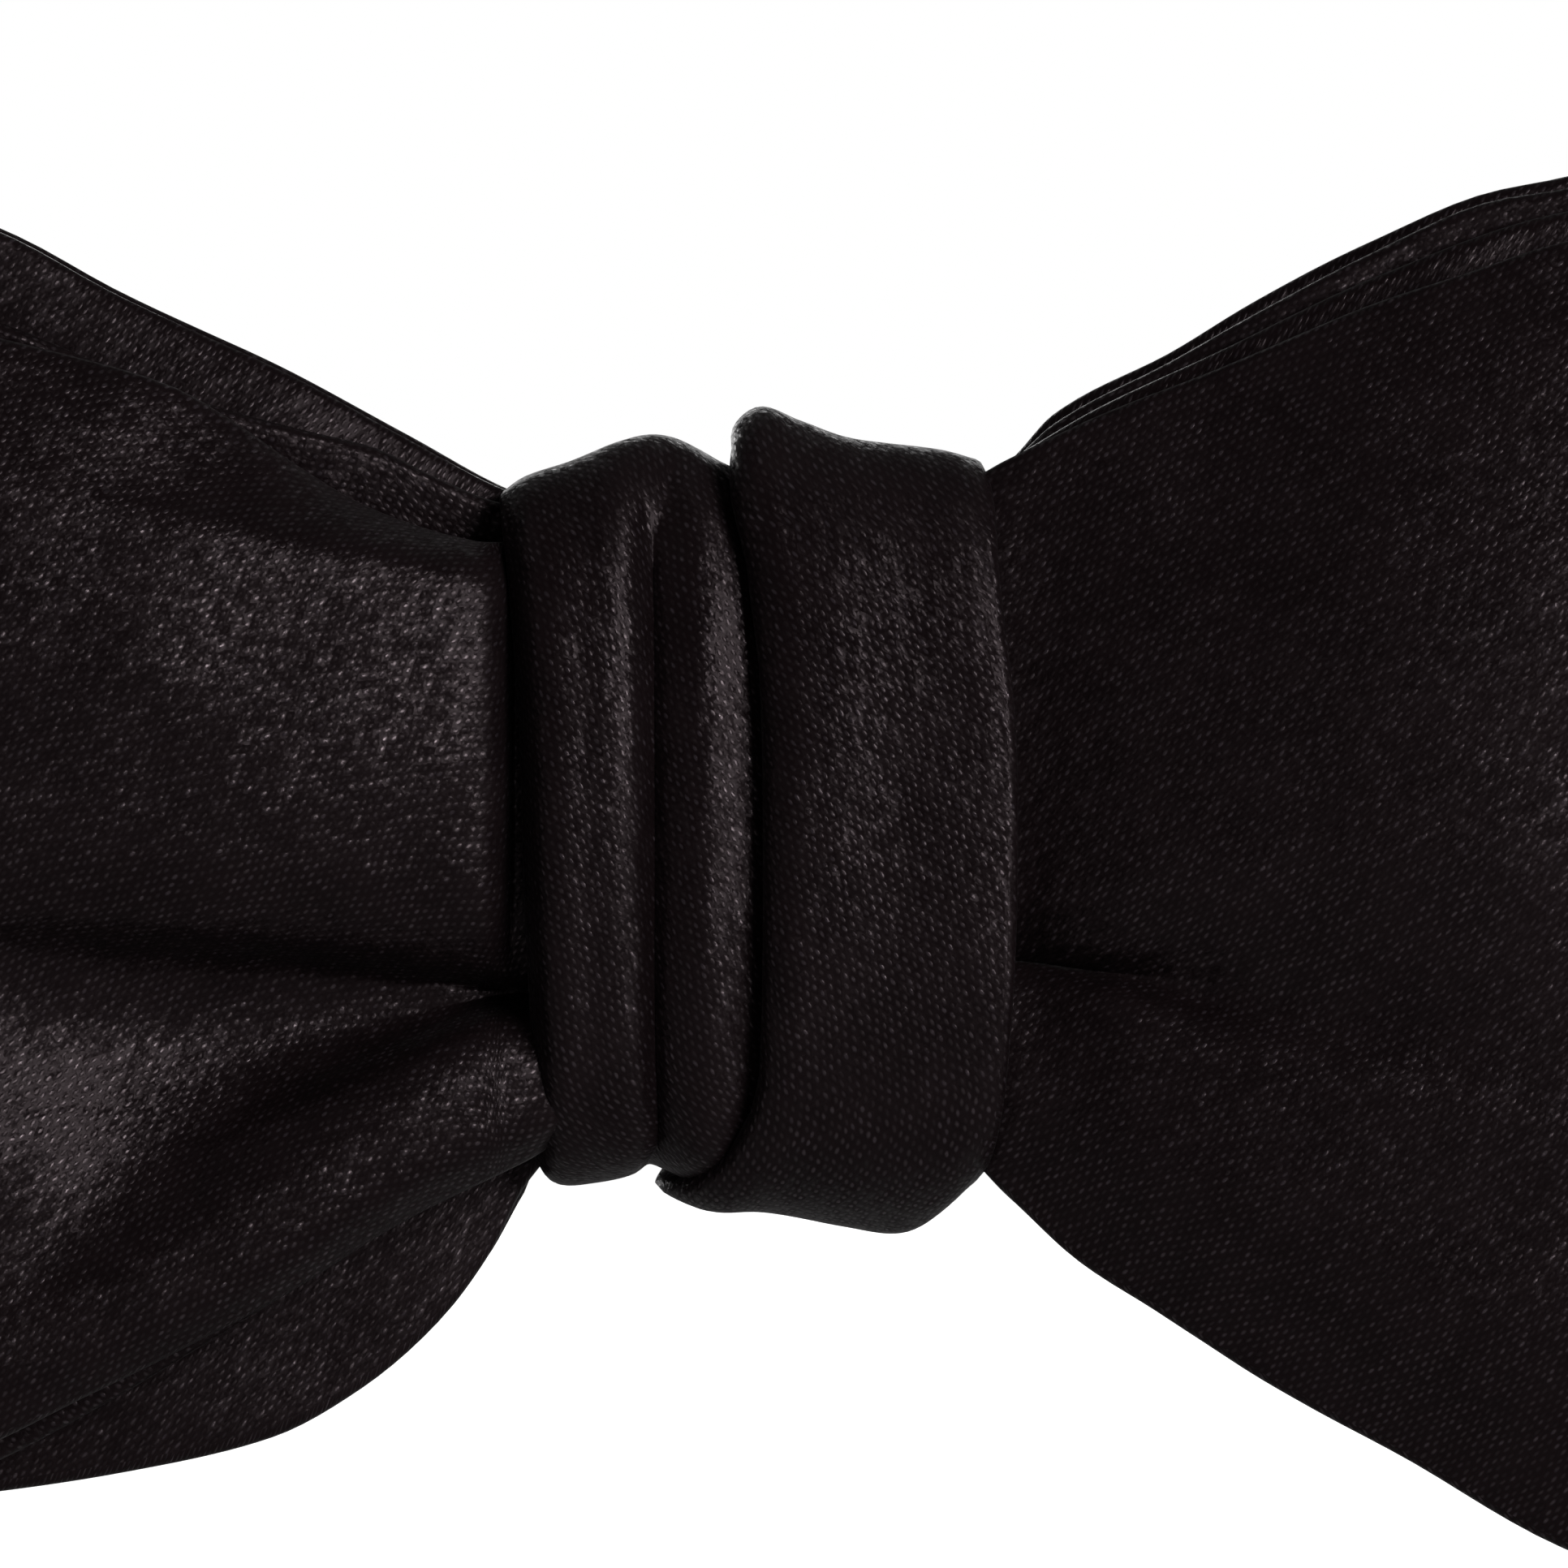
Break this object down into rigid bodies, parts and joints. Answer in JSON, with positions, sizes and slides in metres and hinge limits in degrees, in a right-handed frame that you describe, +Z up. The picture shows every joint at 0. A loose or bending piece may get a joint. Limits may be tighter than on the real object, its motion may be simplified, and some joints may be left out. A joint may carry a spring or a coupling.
{
  "type": "bow tie",
  "caption": "Ready-tied satin bow tie with a pleated knot, on an adjustable neckband with a slide, a hook and an eye.",
  "frame": {"origin": "middle of the knot's back, where it bears on the collar button", "axes": "+X to the wearer's left along the bow, +Y back towards the wearer, +Z up; the neckband is a ring about an upright axis behind the knot"},
  "size_m": [0.125, 0.1399, 0.0594],
  "materials": {
    "satin": "black satin weave, soft sheen",
    "interlining": "plain woven stiffener",
    "thread": "black polyester sewing thread",
    "hardware": "black nickel plate"
  },
  "bodies": {
    "bow": {"front_bow": "satin", "front_bow_interlining": "interlining", "back_bow": "satin", "back_bow_interlining": "interlining", "gathering_thread": "thread", "knot_wrap": "satin", "knot_interlining": "interlining", "knot_stitches": "thread", "neckband_left": "satin", "neckband_left_interlining": "interlining", "eye_tack": "thread", "neckband_right": "satin", "neckband_right_interlining": "interlining"},
    "slide": {"adjuster_slide": "hardware", "strap_feed": "satin", "slide_tack": "thread"},
    "loop_end": {"strap_loop": "satin"},
    "hook": {"hook": "hardware"},
    "eye": {"eye": "hardware"}
  },
  "joints": [
    {"name": "slide_travel", "type": "hinge", "parent": "bow", "child": "slide", "pos_m": [0, 0.05825, 0], "axis": [0, 0, 1], "range_deg": [-30, 16], "deforming": ["strap_feed"]},
    {"name": "loop_travel", "type": "hinge", "parent": "slide", "child": "loop_end", "pos_m": [0, 0.05825, 0], "axis": [0, 0, 1], "range_deg": [-8, 15], "deforming": ["strap_loop"]},
    {"name": "hook_swing", "type": "hinge", "parent": "loop_end", "child": "hook", "pos_m": [0.01766, 0.11601, 0], "axis": [0, 0, 1], "range_deg": [-70, 70]},
    {"name": "eye_swing", "type": "hinge", "parent": "bow", "child": "eye", "pos_m": [-0.01766, 0.11601, 0], "axis": [0, 0, 1], "range_deg": [-70, 70]}
  ],
  "couplings": [
    {"joint": "loop_travel", "follows": "slide_travel", "ratio": -0.5}
  ]
}
